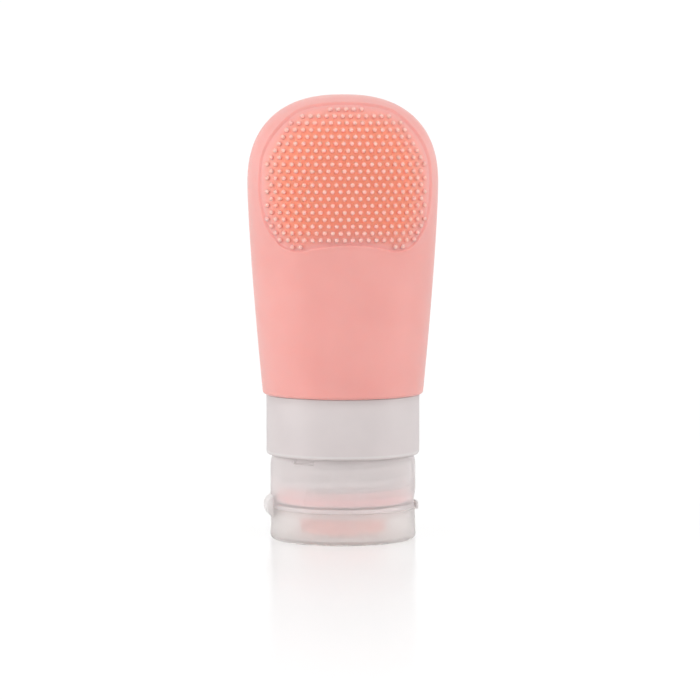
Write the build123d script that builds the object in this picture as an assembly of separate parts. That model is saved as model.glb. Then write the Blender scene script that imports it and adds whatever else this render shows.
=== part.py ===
from build123d import *
import os
from math import radians, sin, sqrt

os.makedirs("parts", exist_ok=True)

# A squeezable travel bottle, standing upside down on its closed lid as it is kept.
# Millimetres. Origin at the centre of the lid's flat face, +Z up to the dome,
# brush towards -Y, lid hinge at -X and thumb tab at +X.

# Driving sizes: the stack from the lid's flat face up
LID_HEIGHT = 7.7
PARTING_GAP = 0.2
BASE_HEIGHT = 12.6
CAP_GAP = 0.5
COLLAR_HEIGHT = 13.6
BODY_HEIGHT = 71.7
SOFT_GAP = 0.1

# Silicone body: width and depth where it is widest, and where it stands on the collar
BODY_WIDTH = 46.0
BODY_DEPTH = 35.0
FOOT_WIDTH = 38.6
FOOT_ROUND = 1.2
DOME_HEIGHT = 21.4
BODY_WALL = 2.4
# How the sides bend out from the foot and how full the dome is, both as exponents
SIDE_BEND_SHARE = 1.35
DOME_FULL_SHARE = 2.4
SIDE_SECTIONS = 6
DOME_SECTIONS = 9
DOME_END_ANGLE = 86

# Silicone neck, its folded lip and the stiffener inside it
MOUTH_RADIUS = 10.0
INSERT_WALL = 1.2
INSERT_RISE = 0.7
INSERT_FLANGE_REACH = 1.2
INSERT_FLANGE_THICK = 0.8
NECK_WALL = 1.8
LIP_THICK = 1.5

# Collar: outer skirt, shoulder under the body and threaded neck
COLLAR_RADIUS = 18.4
COLLAR_WALL = 1.4
SHOULDER_THICK = 1.4
COLLAR_CHAMFER = 0.8
COLLAR_TOP_CHAMFER = 0.2
NECK_TUBE_WALL = 1.8
FIT = 0.1

# Screw thread, right-handed, as a trapezoid ridge
THREAD_PITCH = 3.0
THREAD_DEPTH = 0.9
THREAD_FOOT_WIDTH = 1.6
THREAD_CREST_WIDTH = 0.8
THREAD_CLEARANCE = 0.25
THREAD_BITE = 0.3
THREAD_LEAD_IN = 1.6
MALE_TURNS = 1.25
FEMALE_TURNS = 1.5
FEMALE_EARLY_TURNS = 0.5
THREAD_START_ANGLE = -127

# Cap base: skirt, deck, register ring for the lid and the ring that holds the valve
CAP_RADIUS = 17.45
DECK_THICK = 1.1
CAP_CHAMFER = 0.6
CAP_FOOT_CHAMFER = 0.2
REGISTER_RADIUS = 15.7
REGISTER_WALL = 1.0
REGISTER_DROP = 2.0
SNAP_WALL = 0.8
SNAP_HEIGHT = 1.7
NOTCH_START = 27.0
NOTCH_END = 46.0
NOTCH_DEPTH = 1.5

# Silicone valve: a cup through the deck with a cross slit in its floor
CUP_RADIUS = 10.4
CUP_WALL = 1.5
CUP_MOUTH_Z = 2.0
CUP_FLOOR_Z = 4.2
CUP_FLOOR_THICK = 1.0
CUP_FLANGE_THICK = 0.9
CUP_HOLE_GAP = 0.2
SLIT_LENGTH = 7.0
SLIT_WIDTH = 0.15
RETAINER_REACH = 2.0
RETAINER_THICK = 0.8

# Sealing ring between the deck and the neck lip
LINER_RADIUS = 16.0
LINER_HOLE_GAP = 0.3
LINER_THICK = 1.8

# Lid: plate, wall, plug ring, centre boss and thumb tab
LID_RADIUS = 17.5
LID_WALL = 1.5
LID_PLATE = 1.4
LID_EDGE_ROUND = 1.4
LID_RIM_CHAMFER = 0.2
PLUG_RADIUS = 8.2
PLUG_WALL = 0.9
PLUG_HEIGHT = 1.2
BOSS_RADIUS = 3.0
BOSS_GAP = 0.5
TAB_REACH = 0.85
TAB_WIDTH = 7.0
TAB_BOTTOM = 0.8
TAB_HEIGHT = 2.1
TAB_GAP = 0.25

# Living hinge: a folded strap between the cap base and the lid
STRAP_WIDTH = 8.0
STRAP_THICK = 0.5
STRAP_BULGE = 1.6
STRAP_SPAN = 6.2

# Brush: a recessed field of nubs on a backing slice
BRUSH_WIDTH = 40.4
BRUSH_HEIGHT = 35.0
BRUSH_TOP_DROP = 1.9
BRUSH_RECESS = 0.7
PAD_THICK = 1.0
PAD_GAP = 0.1
NUB_PITCH = 1.86
NUB_SIDE = 0.85
NUB_HEIGHT = 1.7
NUB_TOP_MARGIN = 1.3
NUB_EDGE_MARGIN = 1.0
# Right half of the brush's edge, as shares of half its width and of its height
BRUSH_EDGE_SHARES = [
    (0, 0.06), (0.20, 0.052), (0.37, 0.030), (0.56, 0), (0.73, 0.023), (0.85, 0.097),
    (0.935, 0.183), (0.99, 0.33), (1, 0.485), (0.975, 0.63), (0.88, 0.757), (0.73, 0.865),
    (0.54, 0.953), (0.29, 0.99), (0, 1),
]

# One overrun for every cut that passes a face
OVER = 1.0

# Levels worked out from the stack
BASE_BOTTOM_Z = LID_HEIGHT + PARTING_GAP
BASE_TOP_Z = BASE_BOTTOM_Z + BASE_HEIGHT
DECK_TOP_Z = BASE_BOTTOM_Z + DECK_THICK
COLLAR_BOTTOM_Z = BASE_TOP_Z + CAP_GAP
COLLAR_TOP_Z = COLLAR_BOTTOM_Z + COLLAR_HEIGHT
BODY_BOTTOM_Z = COLLAR_TOP_Z + SOFT_GAP
BODY_TOP_Z = BODY_BOTTOM_Z + BODY_HEIGHT
WIDEST_Z = BODY_TOP_Z - DOME_HEIGHT
BODY_FLOOR_Z = BODY_BOTTOM_Z + BODY_WALL
LINER_BOTTOM_Z = DECK_TOP_Z + SOFT_GAP
LINER_TOP_Z = LINER_BOTTOM_Z + LINER_THICK
LIP_BOTTOM_Z = LINER_TOP_Z + SOFT_GAP
LIP_TOP_Z = LIP_BOTTOM_Z + LIP_THICK
TUBE_BOTTOM_Z = LIP_TOP_Z + SOFT_GAP
MALE_START_Z = TUBE_BOTTOM_Z + THREAD_LEAD_IN
FEMALE_START_Z = MALE_START_Z - FEMALE_EARLY_TURNS * THREAD_PITCH

# Radii worked out from the mouth outwards
INSERT_RADIUS = MOUTH_RADIUS + INSERT_WALL
NECK_BORE = INSERT_RADIUS + FIT
NECK_RADIUS = NECK_BORE + NECK_WALL
TUBE_BORE = NECK_RADIUS + FIT
TUBE_RADIUS = TUBE_BORE + NECK_TUBE_WALL
SKIRT_BORE = TUBE_RADIUS + THREAD_DEPTH + THREAD_CLEARANCE
INSERT_FLANGE_RADIUS = INSERT_RADIUS + INSERT_FLANGE_REACH
CUP_FLANGE_RADIUS = CUP_RADIUS + CUP_HOLE_GAP + SNAP_WALL / 2
SNAP_BORE = CUP_FLANGE_RADIUS + FIT
SNAP_RADIUS = SNAP_BORE + SNAP_WALL


def rod(radius, bottom, top):
    """A round solid about the bottle's axis."""
    return Pos(0, 0, bottom) * Cylinder(radius, top - bottom, align=(Align.CENTER, Align.CENTER, Align.MIN))


def ring(outer, inner, bottom, top):
    """A round tube about the bottle's axis."""
    return rod(outer, bottom, top) - rod(inner, bottom - OVER, top + OVER)


def edges_at(shape, z, radius):
    """The round edges of a shape at one height and radius."""
    rounds = shape.edges().filter_by(GeomType.CIRCLE)
    return [e for e in rounds if abs(e.center().Z - z) < FIT / 2 and abs(e.radius - radius) < FIT / 2]


def body_halves(z, inset=0.0):
    """Half the body's width and depth at a height, both drawn in by the inset."""
    rise = (z - BODY_BOTTOM_Z) / (WIDEST_Z - BODY_BOTTOM_Z)
    flatness = 1 - (1 - BODY_DEPTH / BODY_WIDTH) * rise
    full = BODY_WIDTH / 2
    closing = 1
    if z < WIDEST_Z:
        full -= (BODY_WIDTH - FOOT_WIDTH) / 2 * (1 - rise) ** SIDE_BEND_SHARE
    else:
        climb = (z - WIDEST_Z) / (DOME_HEIGHT - inset)
        closing = (1 - climb**DOME_FULL_SHARE) ** (1 / DOME_FULL_SHARE)
    return (full - inset) * closing, (full * flatness - inset) * closing


def body_front(x, z, inset=0.0):
    """How far the body's front face stands out at a place on it."""
    wide, deep = body_halves(z, inset)
    return deep * sqrt(1 - (x / wide) ** 2)


def body_levels(bottom, inset):
    """Heights of the oval sections, evenly up the sides and by angle over the dome."""
    rise = WIDEST_Z - bottom
    sides = [bottom + rise * i / SIDE_SECTIONS for i in range(SIDE_SECTIONS)]
    angles = [radians(DOME_END_ANGLE * i / (DOME_SECTIONS - 1)) for i in range(DOME_SECTIONS)]
    dome = [WIDEST_Z + (DOME_HEIGHT - inset) * sin(a) ** (2 / DOME_FULL_SHARE) for a in angles]
    return sides + dome


def body_solid(bottom, inset=0.0):
    """The body's closed outer form, drawn in by the inset."""
    return loft([Pos(0, 0, z) * Ellipse(*body_halves(z, inset)) for z in body_levels(bottom, inset)])


def brush_edge(inset=0.0):
    """The closed edge of the brush field, in the plane that faces the front, drawn in by the inset."""
    bottom = BODY_TOP_Z - BRUSH_TOP_DROP - BRUSH_HEIGHT + inset
    wide, high = BRUSH_WIDTH / 2 - inset, BRUSH_HEIGHT - 2 * inset
    points = [(x * wide, 0, bottom + z * high) for x, z in BRUSH_EDGE_SHARES]
    right = Spline(*points, tangents=[(1, 0, 0), (-1, 0, 0)])
    return right + mirror(right, about=Plane.YZ)


def brush_column(inset=0.0):
    """The edge's face run forward through the whole front of the body."""
    return extrude(make_face(brush_edge(inset)), amount=BODY_DEPTH, dir=(0, -1, 0))


def nub_places():
    """Centres of the nubs: a three-way grid, kept clear of the brush's edge."""
    edge = brush_edge()
    zone = brush_column().solids()[0]
    row_step = NUB_PITCH * sqrt(3) / 2
    top = BODY_TOP_Z - BRUSH_TOP_DROP - NUB_TOP_MARGIN
    rows = int(BRUSH_HEIGHT / row_step)
    across = int(BRUSH_WIDTH / NUB_PITCH / 2) + 1
    places = []
    for row in range(rows):
        z = top - row * row_step
        for column in range(-across, across + 1):
            x = (column + (row % 2) / 2) * NUB_PITCH
            inside = zone.is_inside(Vector(x, -BODY_DEPTH / 2, z))
            if inside and edge.distance_to(Vertex(x, 0, z)) > NUB_EDGE_MARGIN:
                places.append((x, z))
    return places


def nub(x, z):
    """One four-sided nub, from the middle of the backing out past the recess."""
    foot = (body_front(x, z, BRUSH_RECESS) + body_front(x, z, BRUSH_RECESS + PAD_THICK)) / 2
    tip = body_front(x, z, BRUSH_RECESS) + NUB_HEIGHT
    return Pos(x, -(foot + tip) / 2, z) * Box(NUB_SIDE, tip - foot, NUB_SIDE)


def brush_pad():
    """Backing slice that follows the body's front, with all its nubs in one piece."""
    shell = body_solid(BODY_FLOOR_Z, BRUSH_RECESS)
    shell -= body_solid(BODY_FLOOR_Z - OVER, BRUSH_RECESS + PAD_THICK)
    slice_solid = (shell & brush_column(PAD_GAP)).solids()[0]
    return slice_solid.fuse(*[nub(x, z) for x, z in nub_places()])


def bottle_body():
    """Squeezable shell with its neck, the lip folded over the neck's end and the brush pocket."""
    outside = body_solid(BODY_BOTTOM_Z)
    outside = fillet(outside.edges().sort_by(Axis.Z)[0], FOOT_ROUND)
    shell = outside - body_solid(BODY_FLOOR_Z, BODY_WALL)
    shell += rod(NECK_RADIUS, LIP_BOTTOM_Z, BODY_FLOOR_Z)
    shell += rod(TUBE_RADIUS, LIP_BOTTOM_Z, LIP_TOP_Z)
    shell -= rod(NECK_BORE, LIP_BOTTOM_Z - OVER, BODY_FLOOR_Z + OVER)
    flange_top = LIP_BOTTOM_Z + INSERT_FLANGE_THICK + FIT
    shell -= rod(INSERT_FLANGE_RADIUS + FIT, LIP_BOTTOM_Z - OVER, flange_top)
    core = body_solid(BODY_FLOOR_Z, BRUSH_RECESS + PAD_THICK + PAD_GAP)
    return shell - (brush_column() - core)


def neck_insert():
    """Stiff sleeve in the soft neck, with a flange let into the lip."""
    sleeve = rod(INSERT_RADIUS, LIP_BOTTOM_Z, BODY_FLOOR_Z + INSERT_RISE)
    sleeve += rod(INSERT_FLANGE_RADIUS, LIP_BOTTOM_Z, LIP_BOTTOM_Z + INSERT_FLANGE_THICK)
    sleeve -= rod(MOUTH_RADIUS, LIP_BOTTOM_Z - OVER, BODY_FLOOR_Z + INSERT_RISE + OVER)
    top = edges_at(sleeve, BODY_FLOOR_Z + INSERT_RISE, INSERT_RADIUS)
    return chamfer(top, INSERT_WALL / 2)


def thread_ridge(root, start, turns, outward):
    """A helical ridge on a round face: its flanks run on into the wall, its crest stands out or in."""
    side = 1 if outward else -1
    foot = root - side * THREAD_BITE
    crest = root + side * THREAD_DEPTH
    slope = (THREAD_FOOT_WIDTH - THREAD_CREST_WIDTH) / 2 / THREAD_DEPTH
    foot_half = THREAD_FOOT_WIDTH / 2 + slope * THREAD_BITE
    crest_half = THREAD_CREST_WIDTH / 2
    profile = Polyline(
        (foot, 0, start - foot_half),
        (crest, 0, start - crest_half),
        (crest, 0, start + crest_half),
        (foot, 0, start + foot_half),
        close=True,
    )
    path = Helix(THREAD_PITCH, THREAD_PITCH * turns, root, center=(0, 0, start))
    return Rot(0, 0, THREAD_START_ANGLE) * sweep(make_face(profile), path=path, is_frenet=True)


def neck_collar():
    """Rigid collar: outer skirt, shoulder under the body and the threaded neck in one moulding."""
    collar = rod(COLLAR_RADIUS, COLLAR_BOTTOM_Z, COLLAR_TOP_Z)
    collar -= ring(
        COLLAR_RADIUS - COLLAR_WALL, TUBE_RADIUS, COLLAR_BOTTOM_Z - OVER, COLLAR_TOP_Z - SHOULDER_THICK
    )
    collar += rod(TUBE_RADIUS, TUBE_BOTTOM_Z, COLLAR_TOP_Z)
    collar = chamfer(edges_at(collar, COLLAR_BOTTOM_Z, COLLAR_RADIUS), COLLAR_CHAMFER)
    collar = chamfer(edges_at(collar, COLLAR_TOP_Z, COLLAR_RADIUS), COLLAR_TOP_CHAMFER)
    collar += thread_ridge(TUBE_RADIUS, MALE_START_Z, MALE_TURNS, outward=True)
    return collar - rod(TUBE_BORE, TUBE_BOTTOM_Z - OVER, COLLAR_TOP_Z + OVER)


def rim_notch():
    """Shallow notch in the cap's upper rim, left of the front."""
    span = NOTCH_END - NOTCH_START
    reach = CAP_RADIUS + OVER
    wedge = Pos(0, 0, BASE_TOP_Z - NOTCH_DEPTH) * Cylinder(
        reach, NOTCH_DEPTH + OVER, arc_size=span, align=(Align.NONE, Align.NONE, Align.MIN)
    )
    return Rot(0, 0, -90 - NOTCH_END) * wedge - rod((CAP_RADIUS + SKIRT_BORE) / 2, 0, BODY_BOTTOM_Z)


def cap_base():
    """Screw cap: skirt with the female thread, deck, lid register and valve ring."""
    cap = rod(CAP_RADIUS, BASE_BOTTOM_Z, BASE_TOP_Z) - rod(SKIRT_BORE, DECK_TOP_Z, BASE_TOP_Z + OVER)
    cap = chamfer(edges_at(cap, BASE_TOP_Z, CAP_RADIUS), CAP_CHAMFER)
    cap = chamfer(edges_at(cap, BASE_BOTTOM_Z, CAP_RADIUS), CAP_FOOT_CHAMFER)
    cap += ring(REGISTER_RADIUS, REGISTER_RADIUS - REGISTER_WALL, BASE_BOTTOM_Z - REGISTER_DROP, DECK_TOP_Z)
    cap += ring(SNAP_RADIUS, SNAP_BORE, BASE_BOTTOM_Z, DECK_TOP_Z + SNAP_HEIGHT)
    cap -= rod(CUP_RADIUS + CUP_HOLE_GAP, BASE_BOTTOM_Z - OVER, DECK_TOP_Z + OVER)
    cap += thread_ridge(SKIRT_BORE, FEMALE_START_Z, FEMALE_TURNS, outward=False)
    return cap - rim_notch()


def spout_valve():
    """Soft cup through the deck; its floor has two crossing slits that open when squeezed."""
    flange_bottom = DECK_TOP_Z + SOFT_GAP
    cup = rod(CUP_RADIUS, CUP_MOUTH_Z, flange_bottom + CUP_FLANGE_THICK)
    cup += rod(CUP_FLANGE_RADIUS, flange_bottom, flange_bottom + CUP_FLANGE_THICK)
    bore = CUP_RADIUS - CUP_WALL
    cup -= rod(bore, CUP_MOUTH_Z - OVER, CUP_FLOOR_Z)
    cup -= rod(bore, CUP_FLOOR_Z + CUP_FLOOR_THICK, DECK_TOP_Z + OVER + CUP_FLANGE_THICK + OVER)
    middle = Pos(0, 0, CUP_FLOOR_Z + CUP_FLOOR_THICK / 2)
    for turn in (0, 90):
        cup -= middle * Rot(0, 0, turn) * Box(SLIT_LENGTH, SLIT_WIDTH, CUP_FLOOR_THICK + OVER)
    return cup


def valve_retainer():
    """Ring snapped over the valve's flange."""
    bottom = DECK_TOP_Z + SOFT_GAP + CUP_FLANGE_THICK + FIT
    return ring(CUP_FLANGE_RADIUS, CUP_FLANGE_RADIUS - RETAINER_REACH, bottom, bottom + RETAINER_THICK)


def cap_liner():
    """Soft ring that the neck lip presses against the deck."""
    return ring(LINER_RADIUS, SNAP_RADIUS + LINER_HOLE_GAP, LINER_BOTTOM_Z, LINER_TOP_Z)


def lid():
    """Flip lid: flat plate, round wall, plug ring, centre boss and thumb tab."""
    shell = rod(LID_RADIUS, 0, LID_HEIGHT) - rod(LID_RADIUS - LID_WALL, LID_PLATE, LID_HEIGHT + OVER)
    shell = fillet(edges_at(shell, 0, LID_RADIUS), LID_EDGE_ROUND)
    shell = chamfer(edges_at(shell, LID_HEIGHT, LID_RADIUS), LID_RIM_CHAMFER)
    shell += ring(PLUG_RADIUS, PLUG_RADIUS - PLUG_WALL, LID_PLATE / 2, LID_PLATE + PLUG_HEIGHT)
    shell += rod(BOSS_RADIUS, LID_PLATE / 2, CUP_FLOOR_Z - BOSS_GAP)
    tab_bottom = LID_HEIGHT - TAB_BOTTOM
    outer = LID_RADIUS + TAB_REACH
    tab = ring(outer, LID_RADIUS - LID_WALL / 2, tab_bottom, tab_bottom + TAB_HEIGHT)
    tab -= rod(LID_RADIUS + TAB_GAP, LID_HEIGHT, tab_bottom + TAB_HEIGHT + OVER)
    tab &= Pos(outer, 0, tab_bottom) * Box(outer, TAB_WIDTH, BODY_TOP_Z)
    return shell + tab


def hinge_web():
    """Folded strap, half an oval in section, from the cap base's wall to the lid's wall."""
    centre = Pos(-CAP_RADIUS, 0, BASE_BOTTOM_Z - PARTING_GAP / 2)
    outer = Ellipse(STRAP_BULGE, STRAP_SPAN / 2)
    inner = Ellipse(STRAP_BULGE - STRAP_THICK, STRAP_SPAN / 2 - STRAP_THICK)
    band = Rot(90, 0, 0) * (outer - inner)
    strap = extrude(band, amount=STRAP_WIDTH / 2, both=True)
    wall = max(CAP_RADIUS, LID_RADIUS) + FIT / 2
    return centre * strap - rod(wall, 0, BODY_BOTTOM_Z)


NODES = {
    "bottle_body": bottle_body,
    "brush_pad": brush_pad,
    "neck_collar": neck_collar,
    "neck_insert": neck_insert,
    "cap_liner": cap_liner,
    "cap_base": cap_base,
    "spout_valve": spout_valve,
    "valve_retainer": valve_retainer,
    "hinge_web": hinge_web,
    "lid": lid,
}

for name, make in NODES.items():
    export_step(make(), f"parts/{name}.step")
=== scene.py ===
# %% [markdown]
# A soft silicone travel bottle that stands upside down on its closed lid. The
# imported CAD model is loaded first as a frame: it fixes where every piece sits
# and how the cap and lid move. What is made here gives that frame its looks.

# %% Load the frame
from math import cos, pi, radians, sin, sqrt

import bpy
import numpy as np
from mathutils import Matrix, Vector


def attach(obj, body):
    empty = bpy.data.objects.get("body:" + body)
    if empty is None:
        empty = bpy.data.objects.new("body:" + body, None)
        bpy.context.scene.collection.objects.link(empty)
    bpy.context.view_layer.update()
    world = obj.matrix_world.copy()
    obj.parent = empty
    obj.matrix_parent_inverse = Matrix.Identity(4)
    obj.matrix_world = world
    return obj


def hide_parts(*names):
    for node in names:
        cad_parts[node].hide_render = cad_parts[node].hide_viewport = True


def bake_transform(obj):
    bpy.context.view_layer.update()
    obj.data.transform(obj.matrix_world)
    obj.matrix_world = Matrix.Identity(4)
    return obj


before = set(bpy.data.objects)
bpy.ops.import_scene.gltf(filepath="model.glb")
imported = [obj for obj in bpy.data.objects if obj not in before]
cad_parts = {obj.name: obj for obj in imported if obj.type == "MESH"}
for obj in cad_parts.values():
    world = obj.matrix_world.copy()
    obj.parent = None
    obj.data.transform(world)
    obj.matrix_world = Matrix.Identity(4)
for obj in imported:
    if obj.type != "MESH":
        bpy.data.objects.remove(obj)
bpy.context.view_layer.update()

MM = 0.001

# %% [markdown]
# The camera comes first, because all the looks are judged through it. To go
# by its outlines, the picture was taken with a long lens from about 0.77 m, a
# little above the bottle and a little towards its hinge side. The aim lies
# just beside the bottle's axis, so that the lens needs no shift.

# %% Camera
DISTANCE = 0.770
LENS = 164.6
ELEVATION = radians(4.24)
TURN = radians(4.4)
AIM_HEIGHT = 0.04527
AIM_ASIDE = 0.0017

camera = bpy.data.objects.new("camera", bpy.data.cameras.new("camera"))
bpy.context.collection.objects.link(camera)
back = Vector((-sin(TURN) * cos(ELEVATION), -cos(TURN) * cos(ELEVATION), sin(ELEVATION)))
aim = Vector((AIM_ASIDE * cos(TURN), -AIM_ASIDE * sin(TURN), AIM_HEIGHT))
camera.location = aim + back * DISTANCE
camera.rotation_euler = (-back).to_track_quat("-Z", "Y").to_euler()
camera.data.lens = LENS
camera.data.clip_start = 0.01
bpy.context.scene.camera = camera
bpy.context.scene.view_settings.view_transform = "Standard"
print("camera at", [round(c, 4) for c in camera.location])

# %% [markdown]
# Most pieces of this bottle are turned shapes or soft ovals. By hand they
# are drawn up ring by ring: a circle is added, then extruded, moved and
# scaled for each ring of the section. A spin could do the round pieces, but
# not the oval body, and one way for all keeps the rings easy to find again.

# %% Helpers: select, and draw up rings
AROUND = 96
POLE = 0.25  # radius in mm of a ring that is drawn in to a point at the end


def start_fresh():
    """Leaves edit mode and deselects everything, the loaded nodes too."""
    if bpy.context.object and bpy.context.object.mode != "OBJECT":
        bpy.ops.object.mode_set(mode="OBJECT")
    bpy.ops.object.select_all(action="DESELECT")


def pick(piece, test):
    """Selects the vertices of a piece by a test on their place, and stays in edit mode."""
    bpy.context.view_layer.objects.active = piece
    bpy.ops.object.mode_set(mode="EDIT")
    bpy.ops.mesh.select_mode(type="VERT")
    bpy.ops.mesh.select_all(action="DESELECT")
    bpy.ops.object.mode_set(mode="OBJECT")
    for v in piece.data.vertices:
        v.select = test(v.co)
    bpy.ops.object.mode_set(mode="EDIT")


def draw_rings(name, rings, around=AROUND):
    """A tube drawn up ring by ring, from (half width, half depth, height) in mm."""
    start_fresh()
    wide, deep, z = rings[0]
    bpy.ops.mesh.primitive_circle_add(vertices=around, radius=MM, location=(0, 0, 0))
    piece = bpy.context.object
    piece.name = piece.data.name = name
    bpy.ops.object.mode_set(mode="EDIT")
    bpy.ops.mesh.select_mode(type="VERT")
    bpy.ops.mesh.select_all(action="SELECT")
    bpy.ops.transform.translate(value=(0, 0, z * MM))
    bpy.ops.transform.resize(value=(wide, deep, 1), center_override=(0, 0, z * MM))
    for new_wide, new_deep, new_z in rings[1:]:
        rise = (0, 0, (new_z - z) * MM)
        bpy.ops.mesh.extrude_region_move(TRANSFORM_OT_translate={"value": rise})
        ratio = (new_wide / wide, new_deep / deep, 1)
        bpy.ops.transform.resize(value=ratio, center_override=(0, 0, new_z * MM))
        wide, deep, z = new_wide, new_deep, new_z
    return piece


def close_up(piece, merge=0.002):
    """Merges what meets, turns the faces outwards and counts what is open."""
    bpy.context.view_layer.objects.active = piece
    bpy.ops.object.mode_set(mode="EDIT")
    bpy.ops.mesh.select_mode(type="VERT")
    bpy.ops.mesh.select_all(action="SELECT")
    if merge:
        bpy.ops.mesh.remove_doubles(threshold=merge * MM)
    bpy.ops.mesh.normals_make_consistent(inside=False)
    bpy.ops.mesh.select_all(action="DESELECT")
    bpy.ops.mesh.select_non_manifold()
    open_places = bpy.context.object.data.total_vert_sel
    bpy.ops.object.mode_set(mode="OBJECT")
    faces = len(piece.data.polygons)
    print(f"{piece.name}: {faces} faces, {open_places} open vertices")
    return piece


def close_poles(piece, below):
    """Draws the last ring in to a point, and then the first, which lies below a height."""
    bpy.ops.mesh.merge(type="CENTER")
    pick(piece, lambda v: v.xy.length < 2 * POLE * MM and v.z < below * MM)
    bpy.ops.mesh.merge(type="CENTER")
    return close_up(piece)


def lower_round(radius, bottom, size, steps=6):
    """The rounded lower edge of a wall, as (radius, height) from below upwards."""
    turns = [pi / 2 * i / steps for i in range(steps + 1)]
    return [(radius - size * (1 - sin(t)), bottom + size * (1 - cos(t))) for t in turns]


# %% Helpers: modifiers and smooth shading
def finish_with(piece, kind, **values):
    """Adds one modifier, sets it and applies it."""
    start_fresh()
    piece.select_set(True)
    bpy.context.view_layer.objects.active = piece
    modifier = piece.modifiers.new(kind.lower(), kind)
    for key, value in values.items():
        setattr(modifier, key, value)
    bpy.ops.object.modifier_apply(modifier=modifier.name)
    return piece


def soften(piece, width, sharper_than=30):
    """Bevels the edges that are sharper than an angle, by a width in mm."""
    return finish_with(piece, "BEVEL", width=width * MM, segments=3,
                       limit_method="ANGLE", angle_limit=radians(sharper_than))


def smooth(piece, degrees=30):
    """Smooth shading, with edges sharper than the angle kept."""
    start_fresh()
    piece.select_set(True)
    bpy.context.view_layer.objects.active = piece
    bpy.ops.object.shade_smooth_by_angle(angle=radians(degrees))
    return piece


# %% [markdown]
# The bottle's body is one soft moulding: an oval that is round where it meets
# the collar and flattens towards a full dome. Its section at each height
# follows one formula, the same as in the CAD source with sizes that differ by
# a few tenths of a millimetre, so the skin stays in the frame. The neck hangs
# down inside the collar and folds over its end.

# %% Body sizes, in mm
BODY_BOTTOM, BODY_TOP, WIDEST = 34.85, 106.6, 85.0
BODY_WIDTH, BODY_DEPTH, FOOT_WIDTH, FOOT_ROUND = 45.8, 35.0, 38.5, 0.8
DOME_HEIGHT, BODY_WALL = BODY_TOP - WIDEST, 2.4
SIDE_BEND, DOME_FULL = 1.35, 2.4
LIP_BOTTOM, LIP_TOP, LIP_RADIUS = 11.0, 12.5, 15.0
NECK_RADIUS, NECK_BORE, FLANGE_BORE, FLANGE_TOP = 13.1, 11.3, 12.5, 11.9


def body_halves(z, inset=0.0):
    """Half the body's width and depth at a height, both drawn in by the inset."""
    rise = (z - BODY_BOTTOM) / (WIDEST - BODY_BOTTOM)
    flatness = 1 - (1 - BODY_DEPTH / BODY_WIDTH) * rise
    full, closing = BODY_WIDTH / 2, 1.0
    if z < WIDEST:
        full -= (BODY_WIDTH - FOOT_WIDTH) / 2 * (1 - rise) ** SIDE_BEND
    else:
        climb = min(1.0, (z - WIDEST) / (DOME_HEIGHT - inset))
        closing = (1 - climb**DOME_FULL) ** (1 / DOME_FULL)
    return (full - inset) * closing, (full * flatness - inset) * closing


def body_front(x, z, inset=0.0):
    """How far the front stands out at a place on it."""
    wide, deep = body_halves(z, inset)
    return deep * sqrt(max(0.0, 1 - (x / wide) ** 2))


def dome_levels(steps, inset=0.0):
    """Heights over the dome, closer together towards its top."""
    angles = [pi / 2 * i / steps for i in range(steps)]
    return [WIDEST + (DOME_HEIGHT - inset) * sin(a) ** (2 / DOME_FULL) for a in angles]


print("foot, widest:", body_halves(BODY_BOTTOM), body_halves(WIDEST))

# %% Draw up the body: cavity, bore, lip, neck, foot and outside in one skin
INNER_DOME_RINGS, INNER_SIDE_RINGS = 14, 16
OUTER_DOME_RINGS, OUTER_SIDE_RINGS, BODY_AROUND = 46, 54, 144
FLARE, LIP_ROUND, LIP_CORNER, FLANGE_EDGE = 0.6, 0.4, 0.1, 0.15

inner_foot, outer_foot = BODY_BOTTOM + BODY_WALL, BODY_BOTTOM + FOOT_ROUND
inner_side = [WIDEST - (WIDEST - inner_foot) * i / INNER_SIDE_RINGS
              for i in range(1, INNER_SIDE_RINGS + 1)]
outer_side = [outer_foot + (WIDEST - outer_foot) * i / OUTER_SIDE_RINGS
              for i in range(1, OUTER_SIDE_RINGS)]
inner_levels = dome_levels(INNER_DOME_RINGS, BODY_WALL)[::-1] + inner_side
neck_and_lip = [
    (NECK_BORE + FLARE, inner_foot), (NECK_BORE, inner_foot - FLARE), (NECK_BORE, FLANGE_TOP),
    (FLANGE_BORE, FLANGE_TOP), (FLANGE_BORE, LIP_BOTTOM + FLANGE_EDGE),
    (FLANGE_BORE + FLANGE_EDGE, LIP_BOTTOM), (LIP_RADIUS - LIP_ROUND, LIP_BOTTOM),
    (LIP_RADIUS - LIP_CORNER, LIP_BOTTOM + LIP_CORNER), (LIP_RADIUS, LIP_BOTTOM + LIP_ROUND),
    (LIP_RADIUS, LIP_TOP - LIP_ROUND), (LIP_RADIUS - LIP_CORNER, LIP_TOP - LIP_CORNER),
    (LIP_RADIUS - LIP_ROUND, LIP_TOP), (NECK_RADIUS, LIP_TOP),
    (NECK_RADIUS, BODY_BOTTOM - 0.05), (NECK_RADIUS + FLARE, BODY_BOTTOM),
]
foot = lower_round(body_halves(outer_foot)[0], BODY_BOTTOM, FOOT_ROUND)

rings = [(POLE, POLE, BODY_TOP - BODY_WALL)]
rings += [(*body_halves(z, BODY_WALL), z) for z in inner_levels]
rings += [(r, r, z) for r, z in neck_and_lip + foot]
rings += [(*body_halves(z), z) for z in outer_side + dome_levels(OUTER_DOME_RINGS)]
rings.append((POLE, POLE, BODY_TOP))
body = draw_rings("body_skin", rings, around=BODY_AROUND)
close_poles(body, below=BODY_TOP - 1)
print("rings:", len(rings))

# %% [markdown]
# The brush is a shallow field let into the front, with a waved lower edge and
# a soft bead around it. Its edge is set out first as points, in shares of
# its size, and a smooth closed line runs through them. How far a place lies
# from that line then says how deep the skin is pressed in there.

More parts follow.
